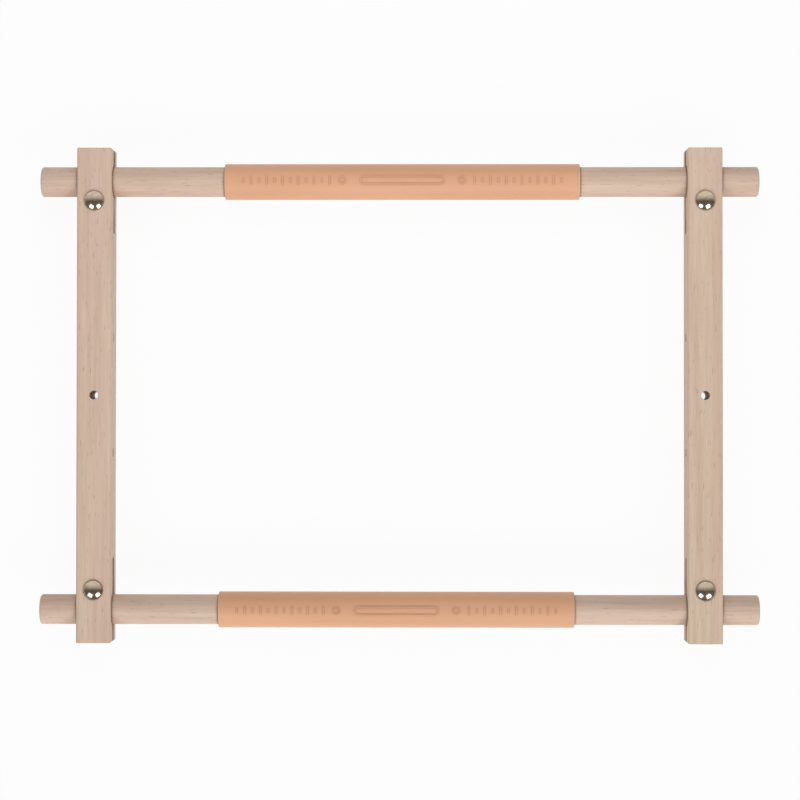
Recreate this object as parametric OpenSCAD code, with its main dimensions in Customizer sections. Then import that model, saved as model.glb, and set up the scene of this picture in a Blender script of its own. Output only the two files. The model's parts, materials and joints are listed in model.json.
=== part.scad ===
// Clip frame for tapestry and embroidery. Two side bars clamp two dowels that turn to roll the
// canvas, and a springy clip holds the canvas to each dowel. Millimetres, lying on its wing nuts:
// +X along the dowels, +Y along the bars, +Z up through the front. The origin is on the floor
// under the middle of the frame.

/* [Dowels] */
// Diameter of each dowel
dowel_d = 19; // [14:0.5:24]
// Length of each dowel
dowel_l = 457; // [430:1:900]
// Distance between the two dowel axes
dowel_span = 273; // [200:1:450]
// Chamfer on the ends of each dowel
dowel_chamfer = 1; // [0.4:0.1:2]
// Gap all round a dowel, in its bores and its clip
dowel_gap = 0.05; // [0.02:0.01:0.1]

/* [Side bars] */
// How far each dowel stands out of a bar's outer side
dowel_overhang = 23.8; // [5:0.1:50]
// Width of a bar, along the dowels
bar_w = 22; // [17:0.5:30]
// Wood left in front of and behind each dowel
cheek = 2.95; // [2:0.05:8]
// Wood left beyond the dowel at each end of a bar
end_wood = 11; // [6:0.5:25]
// Radius of the eased long edges of a bar
bar_round = 1.5; // [0.5:0.1:3]
// Radius of the eased ends of a bar
end_round = 0.8; // [0.3:0.1:2]
// Chamfer round the mouths of a bar's bores
bore_ease = 0.7; // [0.2:0.1:1]
// Width of the slot that lets each end clamp its dowel
slot_w = 5; // [3:0.1:6]
// How far the slot runs past the bolt, to the tip of its round root
slot_past = 20.5; // [10:0.5:40]
// How much a tightened top bolt closes its slot
top_pinch = 2; // [0:0.1:2.5]
// How much a tightened bottom bolt closes its slot
bottom_pinch = 0.3; // [0:0.1:2.5]

/* [Holes] */
// Diameter of the hole through the face in the middle of each bar
stand_hole_d = 5.6; // [4:0.1:8]
// Diameter of the two holes through the sides of each bar
side_hole_d = 5.5; // [4:0.1:8]
// Distance between the two side holes
side_hole_span = 73; // [30:1:120]

/* [Clips] */
// Length of each clip
clip_l = 226; // [120:1:250]
// Thickness of the clip's plastic
clip_wall = 1.9; // [1.2:0.1:3]
// Angle that a clip wraps round its dowel
clip_wrap = 224; // [190:1:270]
// How far the top clip sits right of the middle
top_clip_shift = 1.8; // [-10:0.1:10]
// How far the bottom clip sits right of the middle
bottom_clip_shift = -1.8; // [-10:0.1:10]

/* [Bolts] */
// Diameter of a bolt's shank
bolt_d = 5; // [4:0.5:6]
// Wood between a dowel's bore and the bolt's hole
bolt_wall = 0.8; // [0.5:0.1:6]
// Gap all round a bolt in the wood
bolt_gap = 0.15; // [0.05:0.01:0.3]
// Diameter of the domed head
head_d = 12.5; // [10:0.1:15]
// Height of the domed head
head_h = 3.2; // [2:0.1:5]
// Height of the thin upright rim round the head
head_rim = 0.5; // [0.2:0.1:1]
// Width of the square neck under the head
neck_w = 5.5; // [5.1:0.1:7]
// Depth of the square neck
neck_h = 3.5; // [1:0.1:4]
// Gap all round the neck in the wood
neck_gap = 0.05; // [0.02:0.01:0.1]
// How far a tightened bolt stands out of its nut
bolt_tail = 2.3; // [1:0.1:3]

/* [Washers] */
// Outer diameter of a washer
washer_d = 15; // [12:0.5:18]
// Thickness of a washer
washer_t = 1.2; // [0.8:0.1:2]
// Gap between a washer and its bolt
washer_gap = 0.15; // [0.05:0.01:0.3]

/* [Wing nuts] */
// Diameter of the hub against the washer
hub_base_d = 11; // [9:0.1:13]
// Diameter of the hub at its outer end
hub_top_d = 9; // [7.5:0.1:11]
// Height of the hub
hub_h = 6.5; // [5:0.1:8]
// Distance across the tips of the wings
wing_span = 26; // [22:0.5:32]
// Height of the nut from its base to the tips of its wings
nut_h = 13; // [11:0.1:16]
// Thickness of a wing
wing_t = 2.3; // [1.5:0.1:3]
// Radius of a wing's rounded tip
wing_tip_r = 3.7; // [2.5:0.1:4.5]
// Gap between the nut's thread and the bolt
thread_gap = 0.05; // [0.02:0.01:0.1]
// Where the top left nut's wings point, in degrees from the bar's length
top_left_turn = 14; // [-35:1:35]
// Where the top right nut's wings point
top_right_turn = -22; // [-35:1:35]
// Where the bottom left nut's wings point
bottom_left_turn = -9; // [-35:1:35]
// Where the bottom right nut's wings point
bottom_right_turn = 27; // [-35:1:35]

/* [Hidden] */
$fn = 96;

left = -1;
right = 1;
bottom = -1;
top = 1;
// How far a cut runs past the face that it opens
past = 1;

bore_d = dowel_d + 2 * dowel_gap;
bolt_hole_d = bolt_d + 2 * bolt_gap;
bar_t = bore_d + 2 * cheek;
bar_l = dowel_span + bore_d + 2 * end_wood;
// Distance between the middle lines of the two bars
bar_span = dowel_l - 2 * dowel_overhang - bar_w;
// From a dowel's axis to its bolt, towards the middle of the bar
bolt_inset = bore_d / 2 + bolt_wall + bolt_hole_d / 2;

// Heights above the floor
nut_base_z = nut_h;
bar_back_z = nut_base_z + washer_t;
axis_z = bar_back_z + bar_t / 2;
bar_front_z = bar_back_z + bar_t;

bolt_l = bar_t + washer_t + hub_h + bolt_tail;
bolt_chamfer = 0.6;
clip_inner_r = dowel_d / 2 + dowel_gap;
clip_outer_r = clip_inner_r + clip_wall;
// Where a wing leaves the hub: how deep inside it, and how far from the hub's two ends
wing_root_depth = 1.5;
wing_root_end = 0.6;
wing_root_r = 0.5;

beech = [0.82, 0.72, 0.64];
pale_beech = [0.84, 0.73, 0.63];
peach = [0.88, 0.67, 0.53];
chrome = [0.78, 0.76, 0.72];
zinc = [0.7, 0.71, 0.72];

// A rectangle about the origin with round corners
module rounded_rectangle(w, h, r) {
    square([w - 2 * r, h], center = true);
    square([w, h - 2 * r], center = true);
    for (x = [-1, 1], y = [-1, 1])
        translate([x * (w / 2 - r), y * (h / 2 - r)])
            circle(r);
}

// Puts its children on a bolt's axis at the floor
module at_bolt(side, end) {
    translate([side * bar_span / 2, end * (dowel_span / 2 - bolt_inset), 0])
        children();
}

// A clamp slot in profile, from its round root out past the bar's end, with the bolt at the
// origin and the end towards +X
module slot_profile(pinch) {
    root_x = slot_w / 2 - slot_past;
    end_x = bolt_inset + bore_d / 2 + end_wood + past;
    wide = slot_w / 2;
    waist = (slot_w - pinch) / 2;
    translate([root_x, 0])
        circle(wide);
    polygon([[root_x, -wide], [0, -waist], [end_x, -wide],
        [end_x, wide], [0, waist], [root_x, wide]]);
}

// A cut for a dowel across a bar, along Z, with eased mouths
module eased_bore() {
    cylinder(d = bore_d, h = bar_w + 2 * past, center = true);
    for (turn = [0, 180])
        rotate([turn, 0, 0])
            translate([0, 0, bar_w / 2 - bore_ease])
                cylinder(d1 = bore_d, d2 = bore_d + 2 * (bore_ease + past), h = bore_ease + past);
}

// A side bar about its own centre, with its bores, slots and holes
module bar() {
    difference() {
        intersection() {
            rotate([90, 0, 0])
                linear_extrude(bar_l, center = true)
                    rounded_rectangle(bar_w, bar_t, bar_round);
            linear_extrude(bar_t, center = true)
                rounded_rectangle(bar_w, bar_l, end_round);
        }
        for (end = [bottom, top]) {
            translate([0, end * dowel_span / 2, 0])
                rotate([0, 90, 0])
                    eased_bore();
            translate([0, end * (dowel_span / 2 - bolt_inset), 0]) {
                rotate([90, 0, end * 90])
                    linear_extrude(bar_w + 2 * past, center = true)
                        slot_profile(end == top ? top_pinch : bottom_pinch);
                cylinder(d = bolt_hole_d, h = bar_t + 2 * past, center = true);
                translate([0, 0, bar_t / 2 - neck_h - neck_gap])
                    linear_extrude(neck_h + neck_gap + past)
                        square(neck_w + 2 * neck_gap, center = true);
            }
            translate([0, end * side_hole_span / 2, 0])
                rotate([0, 90, 0])
                    cylinder(d = side_hole_d, h = bar_w + 2 * past, center = true);
        }
        cylinder(d = stand_hole_d, h = bar_t + 2 * past, center = true);
    }
}

module left_bar() {
    color(beech)
        translate([left * bar_span / 2, 0, axis_z])
            bar();
}

module right_bar() {
    color(beech)
        translate([right * bar_span / 2, 0, axis_z])
            bar();
}

// A dowel about its own centre, along X, with chamfered ends
module dowel() {
    r = dowel_d / 2;
    h = dowel_l / 2;
    c = dowel_chamfer;
    rotate([0, 90, 0])
        rotate_extrude()
            polygon([[0, -h], [r - c, -h], [r, c - h], [r, h - c], [r - c, h], [0, h]]);
}

module top_dowel() {
    color(pale_beech)
        translate([0, top * dowel_span / 2, axis_z])
            dowel();
}

module bottom_dowel() {
    color(pale_beech)
        translate([0, bottom * dowel_span / 2, axis_z])
            dowel();
}

// A clip's section: a ring, open at the back, with round lips
module clip_section() {
    middle_r = (clip_inner_r + clip_outer_r) / 2;
    reach = 2 * clip_outer_r;
    half_gap = 180 - clip_wrap / 2;
    difference() {
        circle(clip_outer_r);
        circle(clip_inner_r);
        polygon([[0, 0], [-reach * sin(half_gap), -reach * cos(half_gap)],
            [-reach * sin(half_gap), -2 * reach], [reach * sin(half_gap), -2 * reach],
            [reach * sin(half_gap), -reach * cos(half_gap)]]);
    }
    for (side = [-1, 1])
        translate([side * middle_r * sin(half_gap), -middle_r * cos(half_gap)])
            circle(clip_wall / 2);
}

// A clip about its own centre, along X
module clip() {
    rotate([90, 0, 90])
        linear_extrude(clip_l, center = true)
            clip_section();
}

module top_clip() {
    color(peach)
        translate([top_clip_shift, top * dowel_span / 2, axis_z])
            clip();
}

module bottom_clip() {
    color(peach)
        translate([bottom_clip_shift, bottom * dowel_span / 2, axis_z])
            clip();
}

// A carriage bolt, with the underside of its head at the origin and its shank down
module carriage_bolt() {
    dome_h = head_h - head_rim;
    dome_r = (pow(head_d / 2, 2) + pow(dome_h, 2)) / (2 * dome_h);
    intersection() {
        translate([0, 0, head_h - dome_r])
            sphere(dome_r);
        cylinder(d = head_d, h = head_h);
    }
    translate([0, 0, -neck_h])
        linear_extrude(neck_h)
            square(neck_w, center = true);
    translate([0, 0, bolt_chamfer - bolt_l])
        cylinder(d = bolt_d, h = bolt_l - bolt_chamfer);
    translate([0, 0, -bolt_l])
        cylinder(d1 = bolt_d - 2 * bolt_chamfer, d2 = bolt_d, h = bolt_chamfer);
}

module bolt_at(side, end) {
    color(chrome)
        at_bolt(side, end)
            translate([0, 0, bar_front_z])
                carriage_bolt();
}

module top_left_bolt() bolt_at(left, top);
module top_right_bolt() bolt_at(right, top);
module bottom_left_bolt() bolt_at(left, bottom);
module bottom_right_bolt() bolt_at(right, bottom);

module washer_at(side, end) {
    color(zinc)
        at_bolt(side, end)
            translate([0, 0, nut_base_z])
                difference() {
                    cylinder(d = washer_d, h = washer_t);
                    translate([0, 0, -past])
                        cylinder(d = bolt_d + 2 * washer_gap, h = washer_t + 2 * past);
                }
}

module top_left_washer() washer_at(left, top);
module top_right_washer() washer_at(right, top);
module bottom_left_washer() washer_at(left, bottom);
module bottom_right_washer() washer_at(right, bottom);

// One wing in profile: out from the hub and down to its round tip
module wing_profile() {
    root_x = hub_top_d / 2 - wing_root_depth;
    hull($fn = 32) {
        translate([wing_span / 2 - wing_tip_r, wing_tip_r])
            circle(wing_tip_r);
        for (y = [nut_h - wing_root_end - wing_root_r, nut_h - hub_h + wing_root_end + wing_root_r])
            translate([root_x, y])
                circle(wing_root_r);
    }
}

// A wing nut standing on the tips of its wings at the floor, its hub's base up
module wing_nut() {
    difference() {
        union() {
            translate([0, 0, nut_h - hub_h])
                cylinder(d1 = hub_top_d, d2 = hub_base_d, h = hub_h);
            for (half = [0, 180])
                rotate([90, 0, 90 + half])
                    linear_extrude(wing_t, center = true)
                        wing_profile();
        }
        cylinder(d = bolt_d + 2 * thread_gap, h = nut_h + past);
    }
}

module wing_nut_at(side, end, turn) {
    color(zinc)
        at_bolt(side, end)
            rotate([0, 0, turn])
                wing_nut();
}

module top_left_wing_nut() wing_nut_at(left, top, top_left_turn);
module top_right_wing_nut() wing_nut_at(right, top, top_right_turn);
module bottom_left_wing_nut() wing_nut_at(left, bottom, bottom_left_turn);
module bottom_right_wing_nut() wing_nut_at(right, bottom, bottom_right_turn);

left_bar();
right_bar();
top_dowel();
bottom_dowel();
top_clip();
bottom_clip();
top_left_bolt();
top_right_bolt();
bottom_left_bolt();
bottom_right_bolt();
top_left_washer();
top_right_washer();
bottom_left_washer();
bottom_right_washer();
top_left_wing_nut();
top_right_wing_nut();
bottom_left_wing_nut();
bottom_right_wing_nut();
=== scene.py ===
import json
import math

import bmesh
import bpy
from mathutils import Matrix, Vector


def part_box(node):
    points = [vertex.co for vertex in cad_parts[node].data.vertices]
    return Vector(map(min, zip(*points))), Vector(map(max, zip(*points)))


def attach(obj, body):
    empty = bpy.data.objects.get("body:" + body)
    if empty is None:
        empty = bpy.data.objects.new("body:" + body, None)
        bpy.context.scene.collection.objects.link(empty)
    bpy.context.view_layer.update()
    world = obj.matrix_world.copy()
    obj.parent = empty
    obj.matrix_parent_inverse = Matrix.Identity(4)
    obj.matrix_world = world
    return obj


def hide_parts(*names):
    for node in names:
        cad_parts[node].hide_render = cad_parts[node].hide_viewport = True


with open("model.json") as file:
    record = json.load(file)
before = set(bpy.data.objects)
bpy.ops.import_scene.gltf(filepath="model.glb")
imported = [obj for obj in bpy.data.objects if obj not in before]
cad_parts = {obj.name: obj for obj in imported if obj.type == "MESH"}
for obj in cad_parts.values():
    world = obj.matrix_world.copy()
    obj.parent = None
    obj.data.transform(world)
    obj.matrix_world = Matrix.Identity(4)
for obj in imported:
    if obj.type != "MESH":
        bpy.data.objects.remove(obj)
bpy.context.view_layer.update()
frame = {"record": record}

MM = 0.001

# The frame's corners, each named by its end and its side
CORNERS = [(end, side) for end in ("bottom", "top") for side in ("left", "right")]

# Sizes of the side bars that the solids have and their boxes don't show
BAR_ROUND = 1.5 * MM
END_ROUND = 0.8 * MM
BORE_EASE = 0.7 * MM
SLOT_W = 5 * MM
SLOT_PAST_BOLT = 20.5 * MM
PINCH = {"bottom": 0.3 * MM, "top": 2 * MM}
STAND_HOLE_R = 2.8 * MM
SIDE_HOLE_R = 2.75 * MM
SIDE_HOLE_Y = 36.5 * MM
BOLT_HOLE_R = 2.65 * MM

# The gap round a dowel in its bore, a bolt's neck in the wood and a bolt in its nut
FIT_GAP = 0.05 * MM

# Sizes of the bolts
BOLT_R = 2.5 * MM
HEAD_H = 3.2 * MM
HEAD_RIM = 0.5 * MM
NECK_HALF = 2.75 * MM
NECK_H = 3.5 * MM
THREAD_PITCH = 0.8 * MM
THREAD_DEPTH = 0.35 * MM

# Sizes of the clips, with the part of a circle that they wrap in degrees
CLIP_WRAP = 224
CLIP_ROUND = 0.45 * MM

# Sizes of the wing nuts, and how far each is turned in degrees
HUB_BASE_R = 5.5 * MM
HUB_TOP_R = 4.5 * MM
HUB_H = 6.5 * MM
WING_REACH = 13 * MM
WING_T = 2.3 * MM
WING_TIP_R = 3.7 * MM
NUT_TURN = {("top", "left"): 14, ("top", "right"): -22,
            ("bottom", "left"): -9, ("bottom", "right"): 27}

# The photograph's camera, fitted to the frame: its place from the frame's middle at the
# height of the dowels, and its turns about X, Y and Z in radians
CAMERA_AT = Vector((15.58, -21.99, 1417.4)) * MM
CAMERA_TURN = (-0.0135, -0.0107, -0.0007)
FOCAL_PX = 2220.3
IMAGE_PX = 800
SENSOR_MM = 36

# Points nearer to each other than this, in metres, become one
WELD = 1e-7


# Sizes read from the frame

def middle(node):
    low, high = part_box(node)
    return (low + high) / 2


def extent(node):
    low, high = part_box(node)
    return high - low


BAR = extent("left_bar")
DOWEL = extent("top_dowel")
CLIP = extent("top_clip")
WASHER = extent("top_left_washer")
DOWEL_R = DOWEL.z / 2
BORE_R = DOWEL_R + FIT_GAP
DOWEL_Y = middle("top_dowel").y
AXIS_Z = middle("top_dowel").z
BOLT_Y = middle("top_left_bolt").y
BAR_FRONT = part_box("left_bar")[1].z
BOLT_L = BAR_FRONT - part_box("top_left_bolt")[0].z
HEAD_R = extent("top_left_bolt").x / 2
NUT_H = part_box("top_left_wing_nut")[1].z
CLIP_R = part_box("top_clip")[1].z - AXIS_Z

BODY_OF = {node: body for body, nodes in frame["record"]["behaviour"]["bodies"].items()
           for node in nodes}


# Mesh helpers

def mesh_object(name, verts, faces):
    """A new object in the scene, with a mesh of these points and faces."""
    mesh = bpy.data.meshes.new(name)
    mesh.from_pydata([tuple(v) for v in verts], [], faces)
    mesh.validate()
    obj = bpy.data.objects.new(name, mesh)
    bpy.context.scene.collection.objects.link(obj)
    return obj


def clean(obj):
    """Merges doubled points and turns every face outwards."""
    bm = bmesh.new()
    bm.from_mesh(obj.data)
    bmesh.ops.remove_doubles(bm, verts=bm.verts, dist=WELD)
    bmesh.ops.dissolve_degenerate(bm, edges=bm.edges, dist=WELD)
    bmesh.ops.recalc_face_normals(bm, faces=bm.faces)
    bm.to_mesh(obj.data)
    bm.free()
    return obj


def bake(obj):
    """Makes the modifiers' result the object's own mesh."""
    graph = bpy.context.evaluated_depsgraph_get()
    mesh = bpy.data.meshes.new_from_object(obj.evaluated_get(graph))
    obj.modifiers.clear()
    obj.data = mesh
    return obj


def combine(obj, others, operation):
    """Cuts, joins or crosses obj with each of the others, and removes them."""
    for other in others:
        boolean = obj.modifiers.new("combine", "BOOLEAN")
        boolean.operation = operation
        boolean.solver = "EXACT"
        boolean.object = other
    bake(obj)
    for other in others:
        bpy.data.objects.remove(other)
    return clean(obj)


def soften(obj, width, degrees=35):
    """Rounds the edges that are sharper than the angle."""
    bevel = obj.modifiers.new("soften", "BEVEL")
    bevel.width = width
    bevel.segments = 2
    bevel.limit_method = "ANGLE"
    bevel.angle_limit = math.radians(degrees)
    return bake(obj)


def shade(obj, degrees=32):
    """Smooth shading that keeps flat faces flat and edges sharper than the angle crisp."""
    limit = math.radians(degrees)
    bm = bmesh.new()
    bm.from_mesh(obj.data)
    for face in bm.faces:
        face.smooth = True
    for edge in bm.edges:
        edge.smooth = len(edge.link_faces) == 2 and edge.calc_face_angle(0) < limit
    bm.to_mesh(obj.data)
    bm.free()
    weighted = obj.modifiers.new("flat faces", "WEIGHTED_NORMAL")
    weighted.keep_sharp = True
    return bake(obj)


def arc(centre, radius, start, end, steps):
    """Points on an arc, with its angles in degrees."""
    angles = [math.radians(start + (end - start) * i / steps) for i in range(steps + 1)]
    return [(centre[0] + radius * math.cos(a), centre[1] + radius * math.sin(a)) for a in angles]


def rounded_rectangle(half_w, half_h, radius):
    """The outline of a rectangle about 0, with six steps to each round corner."""
    points = []
    for sx, sy, start in ((1, 1, 0), (-1, 1, 90), (-1, -1, 180), (1, -1, 270)):
        centre = (sx * (half_w - radius), sy * (half_h - radius))
        points += arc(centre, radius, start, start + 90, 6)
    return points


def along(axis, a, b, h):
    """A point with height h along an axis, and a and b across it."""
    return Vector({"x": (h, a, b), "y": (a, h, b), "z": (a, b, h)}[axis])


def prism(name, outline, low, high, axis="z"):
    """Sweeps a closed outline from low to high along an axis."""
    n = len(outline)
    verts = [along(axis, a, b, h) for h in (low, high) for a, b in outline]
    faces = [[i, (i + 1) % n, (i + 1) % n + n, i + n] for i in range(n)]
    faces += [list(range(n)), list(range(n, 2 * n))]
    return clean(mesh_object(name, verts, faces))


def lathe(name, profile, axis="z", steps=96):
    """Turns (radius, height) points round an axis. The profile starts and ends on the axis."""
    verts = [along(axis, 0, 0, profile[0][1]), along(axis, 0, 0, profile[-1][1])]
    for radius, height in profile[1:-1]:
        for i in range(steps):
            a = 2 * math.pi * i / steps
            verts.append(along(axis, radius * math.cos(a), radius * math.sin(a), height))
    rings = [list(range(2 + k * steps, 2 + (k + 1) * steps)) for k in range(len(profile) - 2)]
    faces = []
    for i in range(steps):
        j = (i + 1) % steps
        faces.append([0, rings[0][j], rings[0][i]])
        faces.append([1, rings[-1][i], rings[-1][j]])
        faces += [[low[i], low[j], high[j], high[i]] for low, high in zip(rings, rings[1:])]
    return clean(mesh_object(name, verts, faces))


def cylinder(name, radius, low, high, axis="z"):
    """A plain cylinder along an axis. All of them are cutters."""
    return lathe(name, [(0, low), (radius, low), (radius, high), (0, high)], axis, steps=64)


def move(obj, offset, turn=0):
    """Turns a mesh about Z by degrees and then moves it, with the object left at 0."""
    turned = Matrix.Rotation(math.radians(turn), 4, "Z")
    obj.data.transform(Matrix.Translation(offset) @ turned)
    return obj


def copy_at(model, name, offset, turn=0):
    obj = bpy.data.objects.new(name, model.data.copy())
    bpy.context.scene.collection.objects.link(obj)
    return move(obj, offset, turn)


def coat(obj, *materials):
    """Gives a model its materials, the first of them on every face."""
    obj.data.materials.clear()
    for material in materials:
        obj.data.materials.append(material)
    return obj


def dress(obj, node):
    """Puts a piece in a node's place, on the node's body."""
    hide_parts(node)
    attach(obj, BODY_OF[node])


# Materials

# The Mix node's sockets for colours, which share their names with others
MIX_FACTOR = 0
MIX_A = 6
MIX_B = 7
MIX_RESULT = 2

# Stains on wood and its painted contact shade, from 0 to 255 a channel
WOOD_STREAK = (183, 148, 124)
WOOD_FIBRE = (160, 125, 98)
WOOD_FLECK = (128, 88, 62)
WOOD_EDGE = (176, 138, 112)
WOOD_CONTACT_SHADE = (104, 70, 50)
END_PALE = (190, 160, 136)
END_DARK = (170, 137, 111)
END_PORE = (120, 88, 65)

# Plastic, its stains and its painted contact shade
PLASTIC_PALE = (220, 166, 128)
PLASTIC_WARM = (225, 171, 134)
PLASTIC_SCUFF = (238, 196, 166)
PLASTIC_EDGE = (240, 200, 172)
PLASTIC_CONTACT_SHADE = (160, 98, 63)

METAL_EDGE = (235, 232, 226)


def srgb(r, g, b):
    """A colour from 0 to 255 a channel, as a linear shader colour."""
    linear_below = 11
    return tuple((c / 255 / 12.92) if c < linear_below else ((c / 255 + 0.055) / 1.055) ** 2.4
                 for c in (r, g, b)) + (1,)


class Graph:
    """A material's nodes, with short calls to add and wire them."""

    def __init__(self, name):
        self.material = bpy.data.materials.new(name)
        self.material.use_nodes = True
        self.tree = self.material.node_tree
        self.shader = self.tree.nodes["Principled BSDF"]

    def add(self, kind, inputs, output=0, **settings):
        """Adds a node with its inputs fed, and gives back one of its outputs."""
        node = self.tree.nodes.new("ShaderNode" + kind)
        for key, value in settings.items():
            setattr(node, key, value)
        for key, value in inputs.items():
            self.feed(node.inputs[key], value)
        return node.outputs[output]

    def feed(self, socket, value):
        """Links another node's output to a socket, or sets the socket's own value."""
        if isinstance(value, bpy.types.NodeSocket):
            self.tree.links.new(value, socket)
        else:
            socket.default_value = value

    def noise(self, cells, detail=3, rough=0.5):
        """Noise in the object's own space, with so many cells a metre along each axis."""
        point = self.add("TexCoord", {}, "Object")
        place = self.add("Mapping", {"Vector": point, "Scale": cells})
        return self.add("TexNoise", {"Vector": place, "Scale": 1, "Detail": detail,
                                     "Roughness": rough})

    def ramp(self, value, low, high, to_low=0, to_high=1):
        """Maps low to to_low and high to to_high, and stays within these."""
        return self.add("MapRange", {"Value": value, "From Min": low, "From Max": high,
                                     "To Min": to_low, "To Max": to_high})

    def math(self, operation, a, b=0):
        return self.add("Math", {0: a, 1: b}, operation=operation)

    def mix(self, factor, a, b):
        """Colour a where the factor is nought, and colour b where it is one."""
        inputs = {MIX_FACTOR: factor, MIX_A: a, MIX_B: b}
        return self.add("Mix", inputs, MIX_RESULT, data_type="RGBA")

    def stain(self, colour, mask, share, other):
        """Lays a share of another colour over this one where the mask is one."""
        return self.mix(self.math("MULTIPLY", mask, share), colour, srgb(*other))

    def edges(self, radius):
        """One along sharp edges and nought on flat faces."""
        flat = 0.995
        sharp = 0.8
        rounded = self.add("Bevel", {"Radius": radius}, samples=4)
        plain = self.add("NewGeometry", {}, "Normal")
        alike = self.add("VectorMath", {0: rounded, 1: plain}, "Value", operation="DOT_PRODUCT")
        return self.ramp(alike, flat, sharp)

    def painted_contact_shade(self, reach, most, clear):
        """Painted shade in corners and where parts touch, from the ambient occlusion. It ends
        where the share of open air within reach is clear.
        """
        closed = 0.5
        open_air = self.add("AmbientOcclusion", {"Distance": reach}, "AO", samples=6)
        return self.ramp(open_air, closed, clear, most, 0)

    def finish(self, colour, roughness, height, depth, **fixed):
        """Feeds the shader, with bumps of a depth, and sets what is the same all over."""
        bump = self.add("Bump", {"Height": height, "Distance": depth, "Strength": 0.6})
        for key, value in (("Base Color", colour), ("Roughness", roughness), ("Normal", bump)):
            self.feed(self.shader.inputs[key], value)
        for key, value in fixed.items():
            self.shader.inputs[key.replace("_", " ")].default_value = value
        return self.material


def beech(name, grain_axis, pale, warm):
    """Bare beech with its grain along an axis: soft streaks, fibres and short dark flecks."""
    g = Graph(name)

    def grain(lengthwise, across):
        """Cells a metre, along the grain and across it."""
        return [lengthwise if axis == grain_axis else across for axis in "xyz"]

    tone = g.ramp(g.noise(grain(4, 38), detail=4), 0.35, 0.65)
    streaks = g.ramp(g.noise(grain(7, 210), detail=5, rough=0.6), 0.42, 0.7)
    fibres = g.noise(grain(50, 1500), rough=0.6)
    flecks = g.ramp(g.noise(grain(150, 1250), detail=1), 0.66, 0.74)
    colour = g.mix(tone, srgb(*pale), srgb(*warm))
    colour = g.stain(colour, streaks, 0.35, WOOD_STREAK)
    colour = g.mix(g.ramp(fibres, 0.3, 0.7, 0.2, 0), colour, srgb(*WOOD_FIBRE))
    colour = g.stain(colour, flecks, 0.38, WOOD_FLECK)

    normal = g.add("TexCoord", {}, "Normal")
    lengthwise = g.add("SeparateXYZ", {"Vector": normal}, "xyz".index(grain_axis))
    end = g.ramp(g.math("ABSOLUTE", lengthwise), 0.6, 0.9)
    pores = g.ramp(g.noise((1400, 1400, 1400), detail=2), 0.4, 0.7)
    rings = g.ramp(g.noise(grain(30, 260), detail=2), 0.3, 0.7)
    end_colour = g.mix(rings, srgb(*END_PALE), srgb(*END_DARK))
    end_colour = g.stain(end_colour, pores, 0.4, END_PORE)
    colour = g.mix(end, colour, end_colour)
    colour = g.stain(colour, g.edges(0.5 * MM), 0.35, WOOD_EDGE)
    # Painted contact shade: the wood darkens in corners and where parts touch it
    painted_shade = g.painted_contact_shade(reach=2.5 * MM, most=0.85, clear=0.82)
    colour = g.mix(painted_shade, colour, srgb(*WOOD_CONTACT_SHADE))

    roughness = g.ramp(fibres, 0.3, 0.7, 0.62, 0.5)
    height = g.math("SUBTRACT", fibres, g.math("MULTIPLY", flecks, 0.8))
    return g.finish(colour, roughness, height, 0.06 * MM, Specular_IOR_Level=0.35)


def satin_plastic(name):
    """Peach moulded plastic with a faint grain, flow marks and scuffs."""
    g = Graph(name)
    flow = g.ramp(g.noise((9, 60, 60)), 0.35, 0.65)
    scuffs = g.ramp(g.noise((260, 260, 260)), 0.62, 0.76)
    grain = g.noise((1800, 1800, 1800), detail=2)
    colour = g.mix(flow, srgb(*PLASTIC_PALE), srgb(*PLASTIC_WARM))
    colour = g.stain(colour, scuffs, 0.12, PLASTIC_SCUFF)
    colour = g.stain(colour, g.edges(0.35 * MM), 0.4, PLASTIC_EDGE)
    # Painted contact shade: the plastic darkens in corners and where it meets the wood
    painted_shade = g.painted_contact_shade(reach=1 * MM, most=0.75, clear=0.97)
    colour = g.mix(painted_shade, colour, srgb(*PLASTIC_CONTACT_SHADE))
    roughness = g.ramp(grain, 0.3, 0.7, 0.4, 0.5)
    return g.finish(colour, roughness, grain, 0.02 * MM, Specular_IOR_Level=0.45)


def plated(name, bright, dull, rough, depth):
    """Plated steel with a soft mottle, fine scratches and bright edges."""
    g = Graph(name)
    mottle = g.ramp(g.noise((500, 500, 500)), 0.35, 0.65)
    lines = [g.noise(cells, detail=2) for cells in ((4000, 250, 250), (300, 3600, 300))]
    scratches = g.ramp(g.math("MAXIMUM", *lines), 0.62, 0.72)
    colour = g.mix(mottle, srgb(*bright), srgb(*dull))
    colour = g.stain(colour, g.edges(0.3 * MM), 0.5, METAL_EDGE)
    worn = g.ramp(mottle, 0, 1, rough, rough * 1.5)
    roughness = g.math("ADD", worn, g.math("MULTIPLY", scratches, 0.12))
    raised = g.math("MULTIPLY", mottle, 0.6)
    height = g.math("ADD", raised, g.math("MULTIPLY", scratches, -0.5))
    return g.finish(colour, roughness, height, depth, Metallic=1.0)


BAR_WOOD = beech("bar beech", "y", pale=(220, 198, 172), warm=(220, 191, 172))
# A darker copy of the bar's beech for the walls of bores and slots: painted shade in these
# recesses
SHADED_CUT_WOOD = beech("shaded cut beech", "y", pale=(124, 102, 86), warm=(108, 86, 70))
DOWEL_WOOD = beech("dowel beech", "x", pale=(221, 198, 176), warm=(218, 189, 170))
PLASTIC = satin_plastic("peach plastic")
NICKEL = plated("nickel plate", bright=(212, 203, 190), dull=(196, 186, 172),
                rough=0.13, depth=0.004 * MM)
ZINC = plated("zinc plate", bright=(198, 200, 202), dull=(174, 177, 181),
              rough=0.32, depth=0.008 * MM)
CAST_ZINC = plated("cast zinc", bright=(194, 196, 198), dull=(168, 171, 175),
                   rough=0.4, depth=0.03 * MM)


# Side bars

# How far a cutter runs past the wood
PAST = 2 * MM


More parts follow.
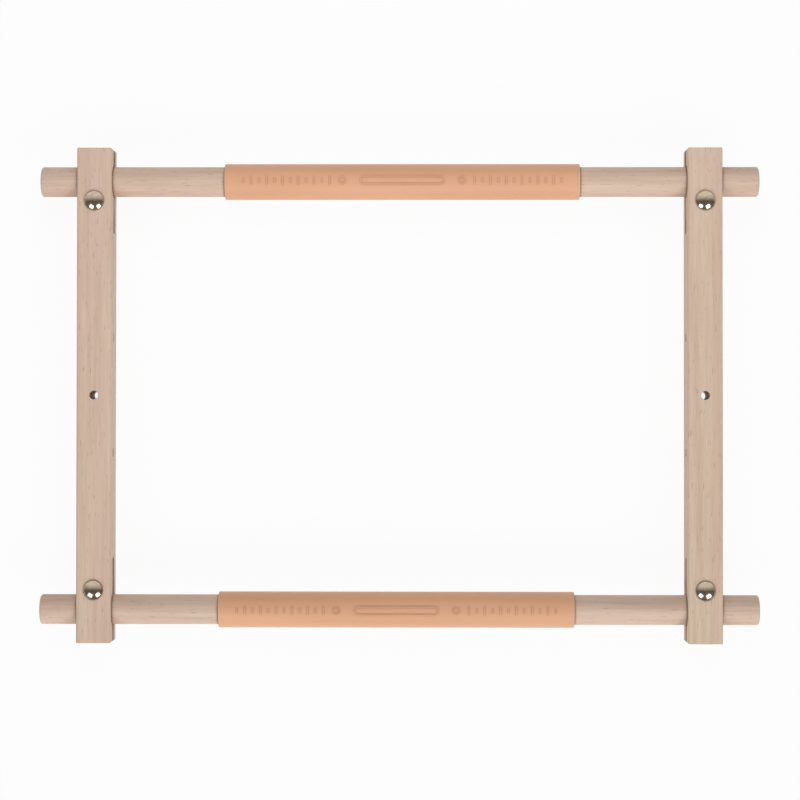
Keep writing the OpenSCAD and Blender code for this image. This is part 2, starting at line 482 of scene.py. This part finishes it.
def slot_outline(end, sign):
    """A clamp slot from its round root to past the bar's end, pinched at the bolt, at 0."""
    wide = SLOT_W / 2
    waist = (SLOT_W - PINCH[end]) / 2
    out = BAR.y / 2 - BOLT_Y + PAST
    points = arc((wide - SLOT_PAST_BOLT, 0), wide, 90, 270, 24)
    points += [(0, -waist), (out, -wide), (out, wide), (0, waist)]
    return [(sign * a, b) for a, b in points]


def end_cutters(end, sign):
    """What is cut from one end of a bar, with its side hole."""
    half = BAR / 2
    reach = half.x + PAST
    mouth = half.x - BORE_EASE
    flare = BORE_R + BORE_EASE + PAST
    bore = lathe("bore", [(0, -reach), (flare, -reach), (BORE_R, -mouth),
                          (BORE_R, mouth), (flare, reach), (0, reach)], "x", steps=128)
    slot = prism("slot", slot_outline(end, sign), -reach, reach, "x")
    neck_half = NECK_HALF + FIT_GAP
    neck_outline = rounded_rectangle(neck_half, neck_half, 0.2 * MM)
    neck = prism("neck", neck_outline, half.z - NECK_H - FIT_GAP, half.z + PAST)
    shank = cylinder("shank", BOLT_HOLE_R, -half.z - PAST, half.z + PAST)
    side_hole = cylinder("side hole", SIDE_HOLE_R, -reach, reach, "x")
    move(bore, (0, sign * DOWEL_Y, 0))
    move(side_hole, (0, sign * SIDE_HOLE_Y, 0))
    for cutter in (slot, neck, shank):
        move(cutter, (0, sign * BOLT_Y, 0))
    return [bore, slot, neck, shank, side_hole]


def is_cut(centre):
    """Whether a bar's face with this centre is in a bore or a slot, and not on a side."""
    skin = 0.02 * MM
    margin = 0.1 * MM
    if abs(centre.x) > BAR.x / 2 - skin:
        return False
    y = abs(centre.y)
    in_bore = math.hypot(y - DOWEL_Y, centre.z) < BORE_R + BORE_EASE
    beside_slot = BOLT_Y - SLOT_PAST_BOLT < y < BAR.y / 2 - END_ROUND
    in_slot = beside_slot and abs(centre.z) < SLOT_W / 2 + margin
    return in_bore or in_slot


def bar_model():
    """A side bar about its own centre, with its bores, slots and holes."""
    half = BAR / 2
    low = -half.z - PAST
    high = half.z + PAST
    bar = prism("bar", rounded_rectangle(half.x, half.z, BAR_ROUND), -half.y, half.y, "y")
    ends = prism("ends", rounded_rectangle(half.x, half.y, END_ROUND), low, high)
    combine(bar, [ends], "INTERSECT")
    cuts = [cylinder("stand hole", STAND_HOLE_R, low, high)]
    cuts += end_cutters("bottom", -1) + end_cutters("top", 1)
    combine(bar, cuts, "DIFFERENCE")
    soften(bar, 0.2 * MM)
    coat(shade(bar), BAR_WOOD, SHADED_CUT_WOOD)
    # Faces in bores and slots take the darker beech, which is painted shade
    for face in bar.data.polygons:
        face.material_index = int(is_cut(face.center))
    return bar


bar = bar_model()
for side in ("left", "right"):
    node = side + "_bar"
    dress(copy_at(bar, node + "_wood", middle(node)), node)
bpy.data.objects.remove(bar)


# Dowels

def dowel_model():
    """A dowel about its own centre, its ends sanded round."""
    half = DOWEL.x / 2
    soft = 1.3 * MM
    straight = half - soft
    rings = 8
    side = [(0, half), (DOWEL_R / 2, half)]
    side += arc((DOWEL_R - soft, straight), soft, 90, 0, 6)
    side += [(DOWEL_R, straight - i * straight / rings) for i in range(1, rings)]
    other_side = [(r, -h) for r, h in reversed(side)]
    return coat(shade(lathe("dowel", side + other_side, "x", steps=128)), DOWEL_WOOD)


dowel = dowel_model()
for end in ("top", "bottom"):
    node = end + "_dowel"
    dress(copy_at(dowel, node + "_wood", middle(node)), node)
bpy.data.objects.remove(dowel)


# Canvas clips

# Steps round a clip's wall, round a lip and along the rounding of an end
WALL_STEPS = 72
LIP_STEPS = 10
ROUND_STEPS = 4

# The raised marks: how wide, how high, and how deep their sides reach into the clip
MARK_W = 0.7 * MM
MARK_PROUD = 0.38 * MM
MARK_SUNK = -0.3 * MM

# Half the oblong's straight length, its round ends, and the rings beside it
OBLONG_HALF = 24 * MM
OBLONG_R = 2.4 * MM
RING_X = 38 * MM
RING_R = 2 * MM
RING_POINTS = 24

# The ruler on each side in millimetres, with half the length of a long and a short mark
RULER_START = 46
RULER_STEP = 5
RULER_MARKS = 12
LONG_MARK = 2.6
SHORT_MARK = 1.5
MARK_POINTS = 7


def lip(angle, start, inset):
    """The half round at a clip's edge, without its two ends, which the wall has."""
    wall = CLIP_R - BORE_R
    mid = BORE_R + wall / 2
    a = math.radians(angle)
    centre = (mid * math.cos(a), mid * math.sin(a))
    return arc(centre, wall / 2 - inset, start, start + 180, LIP_STEPS)[1:-1]


def clip_outline(inset):
    """A clip's section, open at the back, drawn in by an inset."""
    start = 90 - CLIP_WRAP / 2
    end = 90 + CLIP_WRAP / 2
    points = arc((0, 0), CLIP_R - inset, start, end, WALL_STEPS)
    points += lip(end, end, inset)
    points += arc((0, 0), BORE_R + inset, end, start, WALL_STEPS)
    points += lip(start, start + 180, inset)
    return points


def clip_model():
    """A clip about its own centre, with eased ends and its raised marks."""
    half = CLIP.x / 2
    sections = []
    for i in range(ROUND_STEPS + 1):
        a = math.radians(90 * i / ROUND_STEPS)
        x = half - CLIP_ROUND * (1 - math.sin(a))
        sections.append((x, CLIP_ROUND * (1 - math.cos(a))))
    sections = [(-x, inset) for x, inset in reversed(sections)] + sections
    verts = []
    for x, inset in sections:
        verts += [Vector((x, a, b)) for a, b in clip_outline(inset)]
    n = len(verts) // len(sections)
    faces = [list(range(n)), list(range(len(verts) - n, len(verts)))]
    for k in range(len(sections) - 1):
        for i in range(n):
            j = (i + 1) % n
            faces.append([k * n + i, k * n + j, (k + 1) * n + j, (k + 1) * n + i])
    clip = clean(mesh_object("clip", verts, faces))
    combine(clip, [clip_marks()], "UNION")
    return coat(shade(clip), PLASTIC)


def on_clip(x, s, height):
    """The point x along a clip and s round it from its front, at a height over its skin."""
    a = s / CLIP_R
    return Vector((x, (CLIP_R + height) * math.sin(a), (CLIP_R + height) * math.cos(a)))


def clip_marks():
    """Low raised marks: a plain ruler, an oblong outline and small rings."""
    section = ((1, MARK_SUNK), (1, MARK_PROUD), (-1, MARK_PROUD), (-1, MARK_SUNK))
    n = len(section)
    verts = []
    faces = []

    def ridge(points, closed=False):
        """Sweeps the marks' section along (x, s) points on the clip."""
        count = len(points)
        first = len(verts)
        for i, point in enumerate(points):
            before = points[i - 1] if closed or i > 0 else point
            after = points[(i + 1) % count] if closed or i < count - 1 else point
            run = (Vector(after) - Vector(before)).normalized()
            for sideways, height in section:
                x = point[0] - sideways * run.y * MARK_W / 2
                s = point[1] + sideways * run.x * MARK_W / 2
                verts.append(on_clip(x, s, height))
        for i in range(count if closed else count - 1):
            a = first + n * i
            b = first + n * ((i + 1) % count)
            faces.extend([a + k, a + (k + 1) % n, b + (k + 1) % n, b + k] for k in range(n))
        if not closed:
            faces.append([first + k for k in range(n)])
            faces.append([first + n * (count - 1) + k for k in range(n)])

    oblong = arc((OBLONG_HALF, 0), OBLONG_R, -90, 90, 10)
    oblong += arc((-OBLONG_HALF, 0), OBLONG_R, 90, 270, 10)
    ridge(oblong, closed=True)
    last_angle = 360 - 360 / RING_POINTS
    for x in (-RING_X, RING_X):
        ridge(arc((x, 0), RING_R, 0, last_angle, RING_POINTS - 1), closed=True)
    for side in (-1, 1):
        for i in range(RULER_MARKS):
            x = side * (RULER_START + RULER_STEP * i) * MM
            reach = (LONG_MARK if i % 2 == 0 else SHORT_MARK) * MM
            ridge([(x, -reach + 2 * reach * k / (MARK_POINTS - 1)) for k in range(MARK_POINTS)])
    return clean(mesh_object("marks", verts, faces))


clip = clip_model()
for end in ("top", "bottom"):
    node = end + "_clip"
    centre = Vector((middle(node).x, middle(end + "_dowel").y, AXIS_Z))
    dress(copy_at(clip, node + "_shell", centre), node)
bpy.data.objects.remove(clip)


# Bolts, washers and wing nuts

def bolt_model():
    """A carriage bolt with the underside of its head at the origin and its shank down."""
    dome = HEAD_H - HEAD_RIM
    dome_r = (HEAD_R ** 2 + dome ** 2) / (2 * dome)
    tilt = math.degrees(math.asin(HEAD_R / dome_r))
    dome_share = 0.93
    shoulder_r = 0.5 * MM
    shoulder_tilt = 44
    ease = 0.1 * MM
    neck_round = 0.3 * MM
    neck_top = 0.2 * MM
    top = arc((0, HEAD_H - dome_r), dome_r, 90, 90 - tilt * dome_share, 20)
    shoulder = arc((HEAD_R - shoulder_r, HEAD_RIM), shoulder_r, shoulder_tilt, 0, 8)
    rim = [(HEAD_R, ease), (HEAD_R - ease, 0), (0, 0)]
    bolt = lathe("bolt", [(0, HEAD_H)] + top[1:] + shoulder + rim)
    neck = prism("neck", rounded_rectangle(NECK_HALF, NECK_HALF, neck_round), -NECK_H, neck_top)
    return coat(shade(combine(bolt, [neck, threaded_shank()], "UNION")), NICKEL)


def threaded_shank():
    """The bolt's shank, plain under the neck and threaded from there down to its chamfer."""
    steps = 40
    rows_per_turn = 8
    tip_r = 1.9 * MM
    steepness = 1.6
    crest = 0.3
    in_neck = -1 * MM
    plain = -NECK_H - 2 * MM
    length = BOLT_L + plain
    rows = int(length / THREAD_PITCH * rows_per_turn)
    heights = [in_neck] + [plain - k * length / rows for k in range(rows + 1)]
    verts = []
    for z in heights:
        for i in range(steps):
            a = 2 * math.pi * i / steps
            phase = (z / THREAD_PITCH - i / steps) % 1
            valley = min(1, max(0, steepness * (1 - abs(2 * phase - 1)) - crest))
            fade = min(1, max(0, (plain - z) / THREAD_PITCH))
            cone = tip_r + (z + BOLT_L)
            radius = min(BOLT_R - THREAD_DEPTH * valley * fade, cone)
            verts.append(Vector((radius * math.cos(a), radius * math.sin(a), z)))
    last = len(verts) - steps
    faces = [list(range(steps)), list(range(last, len(verts)))]
    for row in range(0, last, steps):
        for i in range(steps):
            j = (i + 1) % steps
            faces.append([row + i, row + j, row + steps + j, row + steps + i])
    return clean(mesh_object("shank", verts, faces))


def washer_model():
    """A stamped washer, rounded on one side, with its base at the origin."""
    outer = WASHER.x / 2
    t = WASHER.z
    past = 1 * MM
    burr = 0.05 * MM
    soft = 0.3 * MM
    profile = [(0, 0), (outer - burr, 0), (outer, burr)]
    profile += arc((outer - soft, t - soft), soft, 0, 90, 5) + [(0, t)]
    washer = lathe("washer", profile)
    combine(washer, [cylinder("hole", BOLT_HOLE_R, -past, t + past)], "DIFFERENCE")
    return coat(shade(soften(washer, 0.06 * MM, degrees=60)), ZINC)


def wing_outline(low):
    """One wing's outline, from inside the hub round its tip, with the hub's low end at low."""
    in_hub = HUB_TOP_R - 1.5 * MM
    root_margin = 0.8 * MM
    shoulder = 1.2 * MM
    tip = (WING_REACH - WING_TIP_R, WING_TIP_R)
    tip_start = -122
    tip_end = 68
    points = [(in_hub, low + root_margin)]
    points += arc(tip, WING_TIP_R, tip_start, tip_end, 24)
    points += [(HUB_BASE_R, NUT_H - shoulder), (in_hub, NUT_H - root_margin)]
    return points


def wing_nut_model():
    """A cast wing nut standing on the tips of its wings, its hub's base up."""
    low = NUT_H - HUB_H
    ease = 0.4 * MM
    base_side = (HUB_BASE_R, NUT_H - 0.3 * MM)
    base_rim = (HUB_BASE_R - 0.2 * MM, NUT_H)
    nut = lathe("nut", [(0, low), (HUB_TOP_R - ease, low), (HUB_TOP_R, low + ease),
                        base_side, base_rim, (0, NUT_H)])
    wings = []
    for side in (-1, 1):
        outline = [(side * a, b) for a, b in wing_outline(low)]
        wings.append(prism("wing", outline, -WING_T / 2, WING_T / 2, "x"))
    combine(nut, wings, "UNION")

    remesh = nut.modifiers.new("cast", "REMESH")
    remesh.mode = "VOXEL"
    remesh.voxel_size = 0.24 * MM
    smooth = nut.modifiers.new("smooth", "SMOOTH")
    smooth.iterations = 7
    bake(nut)

    # The base goes flat again, to sit on its washer
    softened = 0.15 * MM
    for vert in nut.data.vertices:
        if vert.co.z > NUT_H - softened:
            vert.co.z = NUT_H

    hole_r = BOLT_R + FIT_GAP
    past = 1 * MM
    hole = lathe("hole", [(0, 0), (BOLT_R + 0.8 * MM, low - past), (hole_r, low + 0.6 * MM),
                          (hole_r, NUT_H + past), (0, NUT_H + past)])
    combine(nut, [hole], "DIFFERENCE")
    return coat(shade(nut, degrees=50), CAST_ZINC)


bolt = bolt_model()
washer = washer_model()
wing_nut = wing_nut_model()
for end, side in CORNERS:
    corner = f"{end}_{side}"
    axis = middle(corner + "_bolt")
    spot = Vector((axis.x, axis.y, 0))
    piece = copy_at(bolt, corner + "_bolt_steel", spot + Vector((0, 0, BAR_FRONT)))
    dress(piece, corner + "_bolt")
    piece = copy_at(washer, corner + "_washer_steel", spot + Vector((0, 0, NUT_H)))
    dress(piece, corner + "_washer")
    piece = copy_at(wing_nut, corner + "_wing_nut_cast", spot, NUT_TURN[end, side])
    dress(piece, corner + "_wing_nut")
for model in (bolt, washer, wing_nut):
    bpy.data.objects.remove(model)


# Floor, light and camera

# The floor's half width in metres, its colour, and how much of it glows where it is seen
FLOOR_HALF = 4
FLOOR_GREY = (0.8, 0.8, 0.8, 1)
FLOOR_GLOW = 0.93

# The sky as the wood and plastic see it, and its dark and bright sides in gloss
AMBIENT = (0.365, 0.375, 0.395, 1)
GLOSS_DARK = (0.15, 0.12, 0.1, 1)
GLOSS_BRIGHT = (0.95, 0.86, 0.76, 1)
GLOSS_DARK_Y = -0.05
GLOSS_BRIGHT_Y = 0.7
WHITE = (1, 1, 1, 1)


def floor():
    """A pale floor that shows white to the camera and keeps a soft shadow."""
    half = FLOOR_HALF
    corners = [(-half, -half, 0), (half, -half, 0), (half, half, 0), (-half, half, 0)]
    plane = mesh_object("floor", corners, [[0, 1, 2, 3]])
    g = Graph("floor white")
    g.shader.inputs["Base Color"].default_value = FLOOR_GREY
    g.shader.inputs["Roughness"].default_value = 0.9
    camera, gloss, glass = [g.add("LightPath", {}, ray) for ray in
                            ("Is Camera Ray", "Is Glossy Ray", "Is Transmission Ray")]
    seen = g.math("MAXIMUM", g.math("MAXIMUM", camera, gloss), glass)
    glow = g.add("Emission", {"Color": WHITE, "Strength": 1.0})
    share = g.math("MULTIPLY", seen, FLOOR_GLOW)
    mixed = g.add("MixShader", {0: share, 1: g.shader.outputs[0], 2: glow})
    g.feed(g.tree.nodes["Material Output"].inputs["Surface"], mixed)
    plane.data.materials.append(g.material)


def softbox(name, azimuth, elevation, distance, size, power, in_gloss=True):
    """A square lamp aimed at the frame. Azimuth 0 stands toward -Y, 90 toward +X."""
    light = bpy.data.lights.new(name, "AREA")
    light.size = size
    light.energy = power
    obj = bpy.data.objects.new(name, light)
    a = math.radians(azimuth)
    e = math.radians(elevation)
    way = Vector((math.sin(a) * math.cos(e), -math.cos(a) * math.cos(e), math.sin(e)))
    obj.location = way * distance
    obj.rotation_euler = way.to_track_quat("Z", "Y").to_euler()
    obj.visible_glossy = in_gloss
    bpy.context.scene.collection.objects.link(obj)


def studio_world():
    """An even dim sky. The camera sees it white, and gloss sees a dark side toward -Y."""
    world = bpy.data.worlds.new("studio")
    world.use_nodes = True
    bpy.context.scene.world = world
    tree = world.node_tree
    back = tree.nodes["Background"]
    path = tree.nodes.new("ShaderNodeLightPath")
    coords = tree.nodes.new("ShaderNodeTexCoord")
    split = tree.nodes.new("ShaderNodeSeparateXYZ")
    side = tree.nodes.new("ShaderNodeMapRange")
    side.inputs["From Min"].default_value = GLOSS_DARK_Y
    side.inputs["From Max"].default_value = GLOSS_BRIGHT_Y
    gloss = tree.nodes.new("ShaderNodeMix")
    sky = tree.nodes.new("ShaderNodeMix")
    seen = tree.nodes.new("ShaderNodeMix")
    for mix in (gloss, sky, seen):
        mix.data_type = "RGBA"
    gloss.inputs[MIX_A].default_value = GLOSS_DARK
    gloss.inputs[MIX_B].default_value = GLOSS_BRIGHT
    sky.inputs[MIX_A].default_value = AMBIENT
    seen.inputs[MIX_B].default_value = WHITE
    tree.links.new(coords.outputs["Generated"], split.inputs[0])
    tree.links.new(split.outputs["Y"], side.inputs["Value"])
    tree.links.new(side.outputs[0], gloss.inputs[MIX_FACTOR])
    tree.links.new(path.outputs["Is Glossy Ray"], sky.inputs[MIX_FACTOR])
    tree.links.new(gloss.outputs[MIX_RESULT], sky.inputs[MIX_B])
    tree.links.new(path.outputs["Is Camera Ray"], seen.inputs[MIX_FACTOR])
    tree.links.new(sky.outputs[MIX_RESULT], seen.inputs[MIX_A])
    tree.links.new(seen.outputs[MIX_RESULT], back.inputs["Color"])


def photo_camera():
    """The photograph's camera, made the scene's own."""
    data = bpy.data.cameras.new("photo")
    data.sensor_width = SENSOR_MM
    data.lens = FOCAL_PX * SENSOR_MM / IMAGE_PX
    camera = bpy.data.objects.new("photo", data)
    rx, ry, rz = CAMERA_TURN
    turn = (Matrix.Rotation(rz, 3, "Z") @ Matrix.Rotation(ry, 3, "Y")
            @ Matrix.Rotation(rx, 3, "X")).transposed()
    camera.location = CAMERA_AT + Vector((0, 0, AXIS_Z))
    camera.rotation_euler = turn.to_euler()
    bpy.context.scene.collection.objects.link(camera)
    bpy.context.scene.camera = camera


floor()
studio_world()
softbox("key left", azimuth=-35, elevation=32, distance=2.6, size=1.3, power=19.5)
softbox("key right", azimuth=35, elevation=32, distance=2.6, size=1.3, power=28.5)
softbox("fill", azimuth=180, elevation=55, distance=0.8, size=0.5, power=2.0, in_gloss=False)
photo_camera()
bpy.context.scene.view_settings.view_transform = "Standard"
